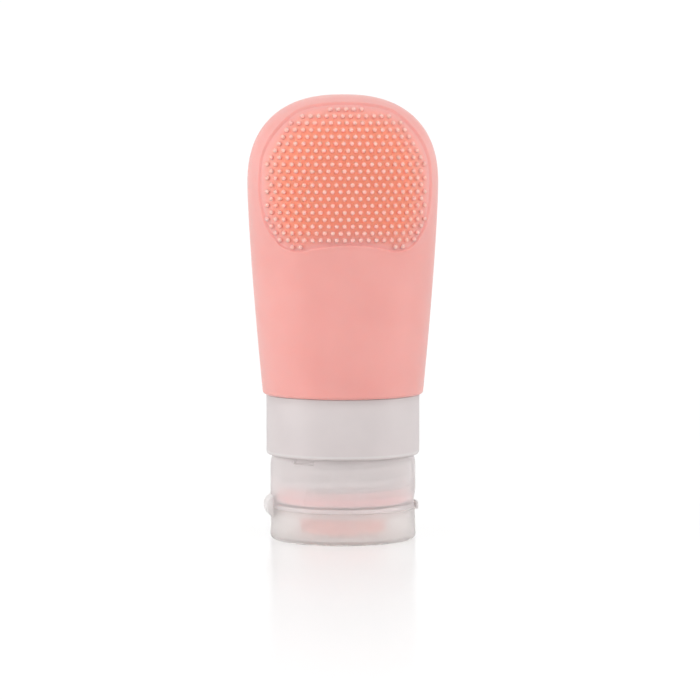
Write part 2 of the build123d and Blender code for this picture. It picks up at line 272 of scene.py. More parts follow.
# %% The brush's edge line
BRUSH_WIDTH, BRUSH_HEIGHT, BRUSH_TOP_DROP = 40.9, 34.85, 2.1
EDGE_SHARES = [
    (0, 0.043), (0.20, 0.037), (0.38, 0.020), (0.575, 0), (0.74, 0.026), (0.855, 0.097),
    (0.935, 0.183), (0.99, 0.33), (1, 0.485), (0.975, 0.63), (0.88, 0.757), (0.73, 0.865),
    (0.54, 0.953), (0.29, 0.99), (0, 1),
]
brush_bottom = BODY_TOP - BRUSH_TOP_DROP - BRUSH_HEIGHT
right_side = [(x * BRUSH_WIDTH / 2, brush_bottom + z * BRUSH_HEIGHT) for x, z in EDGE_SHARES]
whole_edge = np.array(right_side + [(-x, z) for x, z in right_side[-2:0:-1]])


def closed_line(points, steps=16):
    """A smooth closed line through points, four of them shaping each span."""
    line = []
    for i in range(len(points)):
        a, b, c, d = (points[(i + k) % len(points)] for k in (-1, 0, 1, 2))
        lead = np.linalg.norm(c - b)
        out = (c - a) / (np.linalg.norm(b - a) + lead) * lead
        come = (d - b) / (np.linalg.norm(d - c) + lead) * lead
        for t in np.arange(steps) / steps:
            line.append((2 * t**3 - 3 * t**2 + 1) * b + (t**3 - 2 * t**2 + t) * out
                        + (3 * t**2 - 2 * t**3) * c + (t**3 - t**2) * come)
    return np.array(line)


edge_line = closed_line(whole_edge)
lowest, highest = edge_line[:, 1].min(), edge_line[:, 1].max()
print("edge line:", len(edge_line), "points, z", lowest, "to", highest)

# %% How far inside the edge a place lies
TINY, HUGE = 1e-9, 1e9


def depth_inside(places):
    """Distance from the edge line in mm, positive inside, for (x, z) rows."""
    start, end = edge_line, np.roll(edge_line, -1, axis=0)
    step = end - start
    nearest = np.full(len(places), HUGE)
    inside = np.zeros(len(places), bool)
    for s, d, e in zip(start, step, end):
        along = np.clip(((places - s) @ d) / (d @ d), 0, 1)
        nearest = np.minimum(nearest, np.linalg.norm(places - s - along[:, None] * d, axis=1))
        crosses = (s[1] > places[:, 1]) != (e[1] > places[:, 1])
        if crosses.any():
            at = s[0] + (places[:, 1] - s[1]) / (d[1] if abs(d[1]) > TINY else TINY) * d[0]
            inside ^= crosses & (places[:, 0] < at)
    return np.where(inside, nearest, -nearest)


print("middle of the brush lies", depth_inside(np.array([[0.0, 88.0]])), "mm inside")

# %% Split the skin finer along the edge
ELSEWHERE = -99.0  # stands for a depth on the back, in the cavity and far below the brush
ON_SKIN, BELOW_BRUSH = 0.93, 6
EDGE_SPLITS = ((3.2, 1), (1.0, 3))  # (how near the edge in mm, cuts)


def front_depths(piece):
    """depth_inside for each vertex of the front's outside, ELSEWHERE for the others."""
    at = np.array([v.co for v in piece.data.vertices]) / MM
    depths = np.full(len(at), ELSEWHERE)
    halves = np.array([body_halves(z) if BODY_BOTTOM < z < BODY_TOP else (HUGE, HUGE)
                       for z in at[:, 2]])
    on_skin = (at[:, 0] / halves[:, 0]) ** 2 + (at[:, 1] / halves[:, 1]) ** 2 > ON_SKIN
    front = (at[:, 1] < 0.1) & on_skin & (at[:, 2] > brush_bottom - BELOW_BRUSH)
    depths[front] = depth_inside(at[front][:, [0, 2]])
    return depths


for reach, cuts in EDGE_SPLITS:
    near = np.abs(front_depths(body)) < reach
    pick(body, lambda v: False)
    bpy.ops.object.mode_set(mode="OBJECT")
    chosen = np.array([near[list(f.vertices)].any() for f in body.data.polygons])
    body.data.polygons.foreach_set("select", chosen)
    bpy.ops.object.mode_set(mode="EDIT")
    bpy.ops.mesh.select_mode(type="FACE")
    bpy.ops.mesh.subdivide(number_cuts=cuts)
    bpy.ops.object.mode_set(mode="OBJECT")
print("body faces:", len(body.data.polygons))

# %% Lay the skin back on the body's form and press the field in
RECESS, STEP_WIDTH, BEAD_HEIGHT, BEAD_REACH = 0.4, 0.4, 0.09, 1.1
CLIMB, DOME_TIP = 0.02, 0.05


def skin_shift(depth):
    """How far the skin moves out (+) or in (-) at a distance from the edge line."""
    climb = np.clip(depth / STEP_WIDTH + 0.5, 0, 1)
    pressed = -RECESS * climb**2 * (3 - 2 * climb)
    bead = np.clip((depth + BEAD_REACH) / BEAD_REACH, 0, 1)
    return pressed + BEAD_HEIGHT * bead**2 * (3 - 2 * bead) * (1 - climb) ** 2


def outward(x, y, z):
    """The direction straight out of the body's form at a place on it."""
    wide, deep = body_halves(z)
    up_wide, up_deep = body_halves(min(z + CLIMB, BODY_TOP - CLIMB / 4))
    lean = -(x * x * (up_wide - wide) / wide**3 + y * y * (up_deep - deep) / deep**3) / CLIMB
    return Vector((x / wide**2, y / deep**2, lean)).normalized()


depths = front_depths(body)
shift = skin_shift(depths)
moved = 0
for v, depth, out in zip(body.data.vertices, depths, shift):
    if depth <= ELSEWHERE:
        continue
    x, y, z = v.co / MM
    if z < BODY_TOP - DOME_TIP:
        wide, deep = body_halves(z)
        back_out = 1 / sqrt((x / wide) ** 2 + (y / deep) ** 2)
        x, y = x * back_out, y * back_out
    place = Vector((x, y, z)) + outward(x, y, z) * float(out)
    v.co = place * MM
    moved += abs(out) > 0.01
print("skin vertices pressed:", moved, "of", len(depths))

# %% Mark how deep in the field each place lies, for the painted bounce light and shade
FADE_FROM, FADE_TO, FADE_BEND = 0.6, 5.5, 0.7


def field_share(depth):
    """0 at the field's margin, rising to 1 well inside it."""
    share = np.clip((depth - FADE_FROM) / (FADE_TO - FADE_FROM), 0, 1)
    return (share**FADE_BEND).astype(np.float32)


brushed = body.data.attributes.new("in_brush", "FLOAT", "POINT")
brushed.data.foreach_set("value", field_share(depths))

# %% Finish the body's skin
close_up(body)
smooth(body, 50)
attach(body, "bottle")
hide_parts("bottle_body")
print("body's lowest corner in mm:", [round(c / MM, 2) for c in body.bound_box[0]])

# %% [markdown]
# The nubs are small soft cones with round tips, moulded in rows that are each
# shifted by half a step. One nub is modelled with a few dozen faces and
# copied to every place of the grid that lies clear enough of the edge. All
# point straight forward, the way the mould draws off them.

# %% One nub
NUB_HEIGHT, NUB_SIDES = 1.0, 8
NUB_SHAPE = [(0.70, -0.25), (0.60, 0.05), (0.54, 0.25), (0.52, 0.5), (0.45, 0.77), (0.27, 0.94)]
nub_foot, last_ring = NUB_SHAPE[0][1], NUB_SHAPE[-1][1]
nub = draw_rings("nub", [(r, r, h) for r, h in NUB_SHAPE], around=NUB_SIDES)
tip_rise = (0, 0, (NUB_HEIGHT - last_ring) * MM)
bpy.ops.mesh.extrude_region_move(TRANSFORM_OT_translate={"value": tip_rise})
bpy.ops.mesh.merge(type="CENTER")
pick(nub, lambda v: v.z < (nub_foot + 0.01) * MM)
bpy.ops.mesh.edge_face_add()
close_up(nub)
nub_points = np.array([v.co for v in nub.data.vertices]) / MM
nub_faces = [list(f.vertices) for f in nub.data.polygons]
bpy.data.objects.remove(nub)
print("one nub:", len(nub_faces), "faces")

# %% Every nub, standing on the floor of the field
NUB_PITCH, NUB_TOP_MARGIN, NUB_COLUMNS = 1.86, 1.58, range(-12, 13)
UPPER_MARGIN, LOWER_MARGIN, MARGIN_CHANGE = 1.35, 0.8, 79.0
row_step = NUB_PITCH * sqrt(3) / 2
first_row = BODY_TOP - BRUSH_TOP_DROP - NUB_TOP_MARGIN
places = np.array([
    ((column + (row % 2) / 2) * NUB_PITCH, first_row - row * row_step)
    for row in range(int(BRUSH_HEIGHT / row_step)) for column in NUB_COLUMNS
])
margins = np.where(places[:, 1] > MARGIN_CHANGE, UPPER_MARGIN, LOWER_MARGIN)
places = places[depth_inside(places) > margins]
points, faces, heights, shares = [], [], [], []
for (x, z), share in zip(places, field_share(depth_inside(places))):
    base = len(points)
    floor_y = body_front(x, z, RECESS)
    points += [((x + a) * MM, -(floor_y + up) * MM, (z + b) * MM) for a, b, up in nub_points]
    heights += [up / NUB_HEIGHT for _, _, up in nub_points]
    shares += [share] * len(nub_points)
    faces += [[base + i for i in f] for f in nub_faces]
nubs_mesh = bpy.data.meshes.new("brush_nubs")
nubs_mesh.from_pydata(points, [], faces)
nubs = bpy.data.objects.new("brush_nubs", nubs_mesh)
bpy.context.collection.objects.link(nubs)
for name, values in (("nub_rise", np.clip(heights, 0, 1)), ("in_brush", shares)):
    attribute = nubs_mesh.attributes.new(name, "FLOAT", "POINT")
    attribute.data.foreach_set("value", np.array(values, np.float32))
close_up(nubs)
smooth(nubs, 70)
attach(nubs, "bottle")
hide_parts("brush_pad")
print("nubs:", len(places))

# %% [markdown]
# The collar is a hard ring of frosted polypropylene that holds the soft neck.
# Its skirt, the shoulder under the body and the threaded tube are one
# moulding, so one closed section is drawn up for all three. The skirt's hem
# is rounded in small steps, and the other edges get a small bevel, because a
# moulded edge is never knife sharp and catches light.

# %% Helpers: a closed section drawn up and bevelled, and pieces fused or cut
def turned(name, section, bevel=0.18):
    """A round piece from its section, a closed run of (radius, height) in mm."""
    piece = draw_rings(name, [(r, r, z) for r, z in section + section[:1]])
    close_up(piece)
    return soften(piece, bevel)


def fuse(piece, tool, operation="UNION"):
    """Adds another closed mesh to a piece, or cuts it away, and removes that mesh."""
    finish_with(piece, "BOOLEAN", object=tool, operation=operation, solver="EXACT")
    bpy.data.objects.remove(tool)
    return close_up(piece, merge=0)


# %% Collar section
COLLAR_RADIUS, COLLAR_BORE, COLLAR_BOTTOM, COLLAR_TOP = 18.43, 17.0, 20.4, 34.78
TUBE_RADIUS, TUBE_BORE, TUBE_BOTTOM, SHOULDER = 15.0, 13.2, 12.6, 33.2
HEM_STEPS = [(0.6, 0), (0.38, 0.06), (0.2, 0.2), (0.08, 0.42), (0, 0.75)]  # (inward, up)
hem = [(COLLAR_RADIUS - inward, COLLAR_BOTTOM + up) for inward, up in HEM_STEPS]
collar = turned("collar", [
    *hem, (COLLAR_RADIUS, COLLAR_TOP), (TUBE_BORE, COLLAR_TOP),
    (TUBE_BORE, TUBE_BOTTOM), (TUBE_RADIUS, TUBE_BOTTOM), (TUBE_RADIUS, SHOULDER),
    (COLLAR_BORE, SHOULDER), (COLLAR_BORE, COLLAR_BOTTOM),
])

# %% [markdown]
# The screw thread is a ridge wound round the tube, and its mate is wound
# inside the cap. A small four-sided section is set beside the axis and a
# Screw modifier winds it up, then both ends are filled so that it is closed.

# %% Helpers: lay out a section beside the axis, and wind a thread
THREAD_PITCH, THREAD_DEPTH, THREAD_SUNK = 3.0, 0.9, 0.2
THREAD_FOOT, THREAD_CREST, THREAD_START = 1.6, 0.8, radians(-127)


def lay_out(piece, section, angle):
    """Puts a flat mesh's vertices at (radius, height) in mm, at an angle round the axis."""
    for v, (r, z) in zip(piece.data.vertices, section):
        v.co = (r * cos(angle) * MM, r * sin(angle) * MM, z * MM)


def add_plane(name):
    """A small plane with four vertices, ready to be laid out."""
    start_fresh()
    bpy.ops.mesh.primitive_plane_add(size=MM, location=(0, 0, 0))
    piece = bpy.context.object
    piece.name = piece.data.name = name
    return piece


def thread(name, root, start, turns, side):
    """A closed ridge wound up from a start height; side is 1 outwards, -1 inwards."""
    ridge = add_plane(name)
    sunk, crest = root - side * THREAD_SUNK, root + side * THREAD_DEPTH
    lay_out(ridge, [
        (sunk, start - THREAD_FOOT / 2), (crest, start - THREAD_CREST / 2),
        (sunk, start + THREAD_FOOT / 2), (crest, start + THREAD_CREST / 2),
    ], THREAD_START)
    bpy.ops.object.mode_set(mode="EDIT")
    bpy.ops.mesh.select_all(action="SELECT")
    bpy.ops.mesh.delete(type="ONLY_FACE")
    bpy.ops.object.mode_set(mode="OBJECT")
    steps = int(AROUND * turns)
    finish_with(ridge, "SCREW", angle=2 * pi * turns, screw_offset=THREAD_PITCH * turns * MM,
                steps=steps, render_steps=steps, axis="Z", use_normal_calculate=False)
    pick(ridge, lambda v: False)
    bpy.ops.mesh.select_mode(type="EDGE")
    bpy.ops.mesh.select_non_manifold()
    bpy.ops.mesh.fill_holes(sides=4)
    bpy.ops.object.mode_set(mode="OBJECT")
    return close_up(ridge)


# %% Finish the collar
fuse(collar, thread("neck_thread", TUBE_RADIUS, start=14.2, turns=1.25, side=1))
smooth(collar, 40)
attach(collar, "bottle")
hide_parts("neck_collar")

# %% [markdown]
# The cap base screws onto that tube. Its skirt hides the thread, its deck
# carries the valve, and a thin ring below the deck centres the lid. The deck
# is kept thin, so that light comes through to the pieces inside. The upper
# rim has one shallow notch and, lower on the wall, a raised mark under it.
# Both are parts of a ring, each spun through its own angle. Away from the
# hinge a shallow scoop makes room for the thumb.

# %% Helper: part of a ring
FRONT = -90.0


def ring_part(name, inner, outer, bottom, top, from_angle, to_angle, bevel=0.0, steps=12,
              drop=0.0):
    """A block that follows a ring, between two angles from the front towards the hinge.

    drop lowers its outer bottom edge, which makes the bottom slope outwards.
    """
    block = add_plane(name)
    corners = [(inner, bottom), (outer, bottom - drop), (inner, top), (outer, top)]
    lay_out(block, corners, radians(FRONT - from_angle))
    bpy.ops.object.mode_set(mode="EDIT")
    bpy.ops.mesh.select_all(action="SELECT")
    bpy.ops.mesh.spin(steps=steps, dupli=False, angle=radians(to_angle - from_angle),
                      center=(0, 0, 0), axis=(0, 0, 1))
    bpy.ops.object.mode_set(mode="OBJECT")
    close_up(block)
    if bevel:
        soften(block, bevel)
    at = sum((v.co for v in block.data.vertices), Vector()) / len(block.data.vertices)
    print(f"{name} lies at {[round(c / MM, 1) for c in at]} mm")
    return block


# %% Cap base: skirt, deck and rings
CAP_RADIUS, SKIRT_BORE, CAP_BOTTOM, CAP_TOP, CAP_BEVEL = 17.45, 16.15, 7.62, 20.37, 0.06
DECK_TOP, DECK_BOTTOM, CUP_HOLE = 9.0, 8.4, 10.6
SNAP_RADIUS, SNAP_BORE, SNAP_TOP = 11.9, 11.1, 10.7
REGISTER_RADIUS, REGISTER_BORE, REGISTER_BOTTOM = 15.7, 14.7, 5.9
RIM_STEPS = [(0, 2.4), (0.08, 1.7), (0.2, 1.15), (0.38, 0.6), (0.55, 0.2), (0.7, 0.02)]
cap_rim = [(CAP_RADIUS - inward, CAP_TOP - down) for inward, down in RIM_STEPS]
cap = turned("cap_shell", [
    (CAP_RADIUS, CAP_BOTTOM), *cap_rim, (SKIRT_BORE, CAP_TOP),
    (SKIRT_BORE, DECK_TOP), (SNAP_RADIUS, DECK_TOP), (SNAP_RADIUS, SNAP_TOP),
    (SNAP_BORE, SNAP_TOP), (SNAP_BORE, DECK_TOP), (CUP_HOLE, DECK_TOP), (CUP_HOLE, DECK_BOTTOM),
    (REGISTER_BORE, DECK_BOTTOM), (REGISTER_BORE, REGISTER_BOTTOM),
    (REGISTER_RADIUS, REGISTER_BOTTOM), (REGISTER_RADIUS, DECK_BOTTOM),
    (SKIRT_BORE, DECK_BOTTOM), (SKIRT_BORE, CAP_BOTTOM),
], bevel=CAP_BEVEL)
fuse(cap, thread("cap_thread", SKIRT_BORE, start=12.7, turns=1.5, side=-1))

# %% Cap base: notch, mark and thumb scoop
NOTCH_ANGLES, NOTCH_BORE, NOTCH_BOTTOM = (28, 47), 16.5, 19.2
notch = ring_part("notch", NOTCH_BORE, CAP_RADIUS + 1, NOTCH_BOTTOM, CAP_TOP + 1,
                  *NOTCH_ANGLES, bevel=0.12, drop=0.5)
fuse(cap, notch, "DIFFERENCE")

MARK_ANGLE, MARK_HALF, MARK_BOTTOM, MARK_TOP = sum(NOTCH_ANGLES) / 2, 0.5, 8.7, 11.2
MARK_SUNK, MARK_RISE = 0.3, 0.08
fuse(cap, ring_part("mark", CAP_RADIUS - MARK_SUNK, CAP_RADIUS + MARK_RISE, MARK_BOTTOM,
                    MARK_TOP, MARK_ANGLE - MARK_HALF, MARK_ANGLE + MARK_HALF, steps=2))

SCOOP_RADIUS, SCOOP_DEPTH, SCOOP_HEIGHT, SCOOP_SIDES = 7.2, 0.8, 9.0, 128
scoop_aside = CAP_RADIUS - SCOOP_DEPTH + SCOOP_RADIUS
start_fresh()
bpy.ops.mesh.primitive_cylinder_add(
    vertices=SCOOP_SIDES, radius=SCOOP_RADIUS * MM, depth=20 * MM, rotation=(pi / 2, 0, 0),
    location=(scoop_aside * MM, 0, SCOOP_HEIGHT * MM))
fuse(cap, bpy.context.object, "DIFFERENCE")
smooth(cap, 40)
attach(cap, "cap")
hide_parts("cap_base")

# %% [markdown]
# The flip lid is a shallow cup with a soft lower edge, on which the bottle
# stands. Inside it a plug ring enters the valve and a boss rests under the
# valve's floor. The small tab for the thumb, at the side away from the hinge,
# is a piece of its own that rides on the lid, because it is thicker and
# milkier than the lid's wall.

# %% Flip lid
LID_RADIUS, LID_WAIST, LID_BORE, LID_TOP = 17.5, 17.38, 16.0, 7.56
LID_PLATE, LID_ROUND, LID_BEVEL = 0.8, 1.0, 0.18
PLUG_OUTER, PLUG_INNER, PLUG_TOP, BOSS_RADIUS, BOSS_TOP = 8.2, 7.3, 2.6, 3.0, 3.7
WALL_STEPS = [(-0.04, 4.0), (0, 2.5), (0, 0.25), (0.06, 0.08), (0.2, 0)]  # (inward, down)
CORNER_STEPS = [(0, 0.5), (0.15, 0.15), (0.5, 0)]  # (inward, up)
lid_section = [
    (POLE, 0), *lower_round(LID_RADIUS, 0, LID_ROUND),
    *[(LID_WAIST - inward, LID_TOP - down) for inward, down in WALL_STEPS],
    (LID_BORE, LID_TOP), *[(LID_BORE - inward, LID_PLATE + up) for inward, up in CORNER_STEPS],
    (PLUG_OUTER, LID_PLATE), (PLUG_OUTER, PLUG_TOP), (PLUG_INNER, PLUG_TOP),
    (PLUG_INNER, LID_PLATE), (BOSS_RADIUS, LID_PLATE), (BOSS_RADIUS, BOSS_TOP), (POLE, BOSS_TOP),
]
lid = draw_rings("lid_shell", [(r, r, z) for r, z in lid_section])
close_poles(lid, below=1)
soften(lid, LID_BEVEL)

# %% Thumb tab, opposite the hinge
TAB_FROM, TAB_TO, TAB_OUT = -90 - 11.2, -90 + 11.2, LID_WAIST + 0.86
tab = ring_part("tab_foot", LID_WAIST - 0.6, TAB_OUT, LID_TOP - 0.5, LID_TOP,
                TAB_FROM, TAB_TO, bevel=0.2)
fuse(tab, ring_part("tab_lip", LID_WAIST + 0.2, TAB_OUT, LID_TOP - 0.4, LID_TOP + 1.05,
                    TAB_FROM, TAB_TO, bevel=0.28))
tab.name = tab.data.name = "thumb_tab"
for piece in (lid, tab):
    smooth(piece, 40)
    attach(piece, "lid")
    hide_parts("lid")

# %% [markdown]
# The living hinge is a short web of the same plastic, folded outwards while the
# lid is shut, and it reads as a solid bump on the wall.

# %% Hinge strap
STRAP_ANGLE, WALL_SIDE, STRAP_BEVEL = 12.7, 17.3, 0.3
STRAP_SECTION = [
    (17.3, 10.7), (17.9, 10.35), (18.5, 9.88), (18.95, 9.3), (19.13, 8.7),
    (19.13, 8.0), (19.02, 7.3), (18.66, 6.55), (18.0, 5.8), (17.3, 5.25),
]
start_fresh()
bpy.ops.mesh.primitive_circle_add(vertices=len(STRAP_SECTION) * 2 - 2, radius=MM,
                                  fill_type="NGON")
strap = bpy.context.object
strap.name = strap.data.name = "hinge_strap"
back_wall = [(WALL_SIDE, z) for _, z in STRAP_SECTION[-2:0:-1]]
lay_out(strap, STRAP_SECTION + back_wall, radians(180 - STRAP_ANGLE))
pick(strap, lambda v: True)
bpy.ops.mesh.spin(steps=10, dupli=False, angle=radians(-2 * STRAP_ANGLE), center=(0, 0, 0),
                  axis=(0, 0, 1))
bpy.ops.object.mode_set(mode="OBJECT")
close_up(strap)
soften(strap, STRAP_BEVEL, sharper_than=60)
close_up(strap)
near_corner, far_corner = strap.bound_box[0], strap.bound_box[6]
print("strap box in mm:", [round(c / MM, 1) for c in (*near_corner, *far_corner)])
smooth(strap, 50)
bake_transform(strap)
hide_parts("hinge_web")

# %% [markdown]
# Inside the cap sit the soft parts that show through the frosted plastic as a
# pink core and a pink band: the valve, a cup with a cross slit in its floor,
# and the flat sealing ring that the neck's lip presses on the deck.

# %% Valve
CUP_RADIUS, CUP_BORE, CUP_MOUTH, CUP_TOP = 10.4, 8.9, 1.5, 10.0
CUP_FLOOR, FLOOR_THICK, CUP_CORNER, CUP_BEVEL = 4.2, 1.0, 0.4, 0.2
FLANGE_RADIUS, FLANGE_BOTTOM = CUP_RADIUS + 0.6, 9.1
SLIT_SIZE = (7.0, 0.15, 3.0)
floor_top = CUP_FLOOR + FLOOR_THICK
valve = draw_rings("valve_cup", [(r, r, z) for r, z in [
    (POLE, CUP_FLOOR), (CUP_BORE - CUP_CORNER, CUP_FLOOR), (CUP_BORE, CUP_FLOOR - CUP_CORNER),
    (CUP_BORE, CUP_MOUTH), (CUP_RADIUS, CUP_MOUTH), (CUP_RADIUS, FLANGE_BOTTOM),
    (FLANGE_RADIUS, FLANGE_BOTTOM), (FLANGE_RADIUS, CUP_TOP), (CUP_BORE, CUP_TOP),
    (CUP_BORE, floor_top + CUP_CORNER), (CUP_BORE - CUP_CORNER, floor_top), (POLE, floor_top),
]])
close_poles(valve, below=CUP_FLOOR + FLOOR_THICK / 2)
soften(valve, CUP_BEVEL)
slit_length, slit_width, slit_height = SLIT_SIZE
for scale in ((slit_width, slit_length, slit_height), (slit_length, slit_width, slit_height)):
    start_fresh()
    middle = (0, 0, (CUP_FLOOR + FLOOR_THICK / 2) * MM)
    bpy.ops.mesh.primitive_cube_add(size=MM, location=middle)
    slit = bpy.context.object
    slit.scale = scale
    fuse(valve, slit, "DIFFERENCE")
smooth(valve, 40)
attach(valve, "cap")
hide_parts("spout_valve")

# %% Sealing ring
SEAL_OUTER, SEAL_INNER, SEAL_BOTTOM, SEAL_TOP = 16.0, 12.2, 9.1, 10.9
seal = turned("seal_ring", [
    (SEAL_OUTER, SEAL_BOTTOM), (SEAL_OUTER, SEAL_TOP),
    (SEAL_INNER, SEAL_TOP), (SEAL_INNER, SEAL_BOTTOM),
], bevel=0.4)
smooth(seal, 50)
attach(seal, "seal")
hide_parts("cap_liner")

# %% [markdown]
# Every moulded surface here carries the fine texture of its mould and a slow,
# faint change of tone. Both come from one node group that reads the place on
# the object, so that it stays put when a piece moves. It puts out a height
# for the bump and a slow and a fine mask, and each material sets its own scale.

# %% Helpers: nodes and links
def add(tree, kind, at=(0, 0), **values):
    """One node, with values for its settings or, where it has none such, its inputs."""
    node = tree.nodes.new(kind)
    node.location = at
    for key, value in values.items():
        if hasattr(node, key):
            setattr(node, key, value)
        else:
            node.inputs[key.replace("_", " ")].default_value = value
    return node


def wire(tree, *links):
    """Links nodes, each link as (node, its output, next node, that node's input)."""
    for source, output, target, entry in links:
        tree.links.new(source.outputs[output], target.inputs[entry])


# %% Node group: texture left by the mould
GROUP_INPUTS = (
    ("Place", "NodeSocketVector", None), ("Grain", "NodeSocketFloat", 4000.0),
    ("Cloud", "NodeSocketFloat", 90.0),
)
mould = bpy.data.node_groups.new("mould_texture", "ShaderNodeTree")
for name, kind, value in GROUP_INPUTS:
    socket = mould.interface.new_socket(name, in_out="INPUT", socket_type=kind)
    if value:
        socket.default_value = value
for name in ("Height", "Slow", "Fine"):
    mould.interface.new_socket(name, in_out="OUTPUT", socket_type="NodeSocketFloat")
inlet, outlet = add(mould, "NodeGroupInput", (-700, 0)), add(mould, "NodeGroupOutput", (500, 0))
grain = add(mould, "ShaderNodeTexNoise", (-400, 200), Detail=3.0, Roughness=0.6)
cloud = add(mould, "ShaderNodeTexNoise", (-400, -150), Detail=2.0, Roughness=0.5)
pits = add(mould, "ShaderNodeTexVoronoi", (-400, -450))
sink = add(mould, "ShaderNodeMapRange", (-150, -450),
           From_Min=0.05, From_Max=0.45, To_Min=0.0, To_Max=0.35)
height = add(mould, "ShaderNodeMath", (100, 0), operation="ADD")
wire(mould,
     (inlet, "Place", grain, "Vector"), (inlet, "Grain", grain, "Scale"),
     (inlet, "Place", cloud, "Vector"), (inlet, "Cloud", cloud, "Scale"),
     (inlet, "Place", pits, "Vector"), (inlet, "Grain", pits, "Scale"),
     (pits, "Distance", sink, "Value"), (grain, "Fac", height, 0), (sink, "Result", height, 1),
     (height, "Value", outlet, "Height"), (cloud, "Fac", outlet, "Slow"),
     (grain, "Fac", outlet, "Fine"))
print("mould texture:", len(mould.nodes), "nodes")


# %% Helpers: a moulded material, and a piece dressed in it
def moulded(name, pale, deep, rough, grain=3500.0, cloud=70.0, bump=0.15, lift=0.03, **shader):
    """A Principled material with the mould's texture; rough is its least and most roughness."""
    made = bpy.data.materials.new(name)
    made.use_nodes = True
    tree = made.node_tree
    surface = tree.nodes["Principled BSDF"]
    place = add(tree, "ShaderNodeTexCoord", (-1100, 0))
    texture = add(tree, "ShaderNodeGroup", (-900, 0), node_tree=mould, Grain=grain, Cloud=cloud)
    spread = add(tree, "ShaderNodeMapRange", (-700, 200), From_Min=0.35, From_Max=0.65)
    tone = add(tree, "ShaderNodeMix", (-500, 200), data_type="RGBA")
    tone.inputs["A"].default_value = (*deep, 1)
    tone.inputs["B"].default_value = (*pale, 1)
    gloss = add(tree, "ShaderNodeMapRange", (-500, -100),
                From_Min=0.3, From_Max=0.7, To_Min=rough[0], To_Max=rough[1])
    relief = add(tree, "ShaderNodeBump", (-500, -400), Strength=bump, Distance=lift * MM)
    wire(tree,
         (place, "Object", texture, "Place"), (texture, "Slow", spread, "Value"),
         (spread, "Result", tone, "Factor"), (texture, "Fine", gloss, "Value"),
         (texture, "Height", relief, "Height"), (tone, "Result", surface, "Base Color"),
         (gloss, "Result", surface, "Roughness"), (relief, "Normal", surface, "Normal"))
    for key, value in shader.items():
        surface.inputs[key.replace("_", " ")].default_value = value
    return made, tree, surface, tone


def dress(piece, material):
    """Gives a piece its one material."""
    piece.data.materials.clear()
    piece.data.materials.append(material)


# %% [markdown]
# Silicone scatters light a little under its skin and has a soft, even sheen.
# Where the light bounces between the nubs its coral looks deeper, and the
# nubs' thin tips look paler as light shines through them. Both are painted
# into the base colour: a deeper coral as painted bounce light and shade, and
# a paler one as painted light in the tips. They are mixed in by attributes:
# one that the pressing of the field left on the skin, and one that rises
# along each nub.
# The valve and the seal have tones of their own. The valve's paler coral is
# painted light that lifts it in the dim inside of the cap, and the seal's
# deeper coral makes up for the frosted plastic in front of it, which pales
# what it covers.

# %% Coral silicone: the body
CORAL_PALE, CORAL_DEEP = (0.855, 0.39, 0.357), (0.825, 0.365, 0.332)
# The field coral is painted bounce light and shade between the nubs, and the tip coral is
# painted light through the thin nub tips.
PAINTED_BOUNCE_CORAL, PAINTED_TIP_LIGHT = (1.0, 0.345, 0.23), (0.98, 0.54, 0.50)
SOFT = {
    "Subsurface_Weight": 0.5, "Subsurface_Radius": (1.0, 0.45, 0.35),
    "Subsurface_Scale": 1.5 * MM, "IOR": 1.41, "Specular_IOR_Level": 0.45,
    "Sheen_Weight": 0.3, "Sheen_Roughness": 0.5,
}


def deepened(made):
    """Mixes in the deeper coral, painted bounce light and shade, by the attribute in_brush;
    returns that mix.
    """
    _, tree, surface, tone = made
    field = add(tree, "ShaderNodeAttribute", (-700, 500), attribute_name="in_brush")
    deeper = add(tree, "ShaderNodeMix", (-250, 300), data_type="RGBA")
    deeper.inputs["B"].default_value = (*PAINTED_BOUNCE_CORAL, 1)
    wire(tree, (field, "Fac", deeper, "Factor"), (tone, "Result", deeper, "A"),
         (deeper, "Result", surface, "Base Color"))
    return deeper


silicone = moulded("coral_silicone", CORAL_PALE, CORAL_DEEP, (0.46, 0.56), **SOFT)
deepened(silicone)
dress(body, silicone[0])
print("body dressed in", body.data.materials[0].name)

# %% Coral silicone: the nubs, valve and seal
softer = {**SOFT, "Subsurface_Weight": 0.85}
nub_silicone = moulded("nub_silicone", CORAL_PALE, CORAL_DEEP, (0.42, 0.52), **softer)
stem = deepened(nub_silicone)
material, tree, surface, _ = nub_silicone
# The tips are mixed towards a paler coral: painted light that shines through the thin nub tips.
rise = add(tree, "ShaderNodeAttribute", (-900, 700), attribute_name="nub_rise")
fade = add(tree, "ShaderNodeMapRange", (-600, 700), From_Min=0.35, From_Max=1.0)
paler = add(tree, "ShaderNodeMix", (-50, 400), data_type="RGBA")
paler.inputs["B"].default_value = (*PAINTED_TIP_LIGHT, 1)
wire(tree, (rise, "Fac", fade, "Value"), (fade, "Result", paler, "Factor"),
     (stem, "Result", paler, "A"), (paler, "Result", surface, "Base Color"))
dress(nubs, material)

# The valve's paler coral is painted light for the dim inside of the cap.
VALVE_PALE, VALVE_DEEP = (0.94, 0.51, 0.47), (0.92, 0.47, 0.43)
SEAL_PALE, SEAL_DEEP = (0.89, 0.31, 0.30), (0.86, 0.28, 0.27)
dress(valve, moulded("valve_silicone", VALVE_PALE, VALVE_DEEP, (0.45, 0.55), **SOFT)[0])
dress(seal, moulded("seal_silicone", SEAL_PALE, SEAL_DEEP, (0.45, 0.55), **SOFT)[0])
print("soft pieces:", [piece.data.materials[0].name for piece in (nubs, valve, seal)])

# %% [markdown]
# The collar, cap and lid are polypropylene with a frosted mould finish. It is
# part milky, which is the diffuse share, and part clear with a rough face,
# which blurs what lies behind it. The collar is the milkiest and the lid lets
# the most through. The refractive index of the cap, lid, strap and tab is set
# far below the real plastic's, because at 1.45 the closed walls came out grey,
# where the picture's are pale.

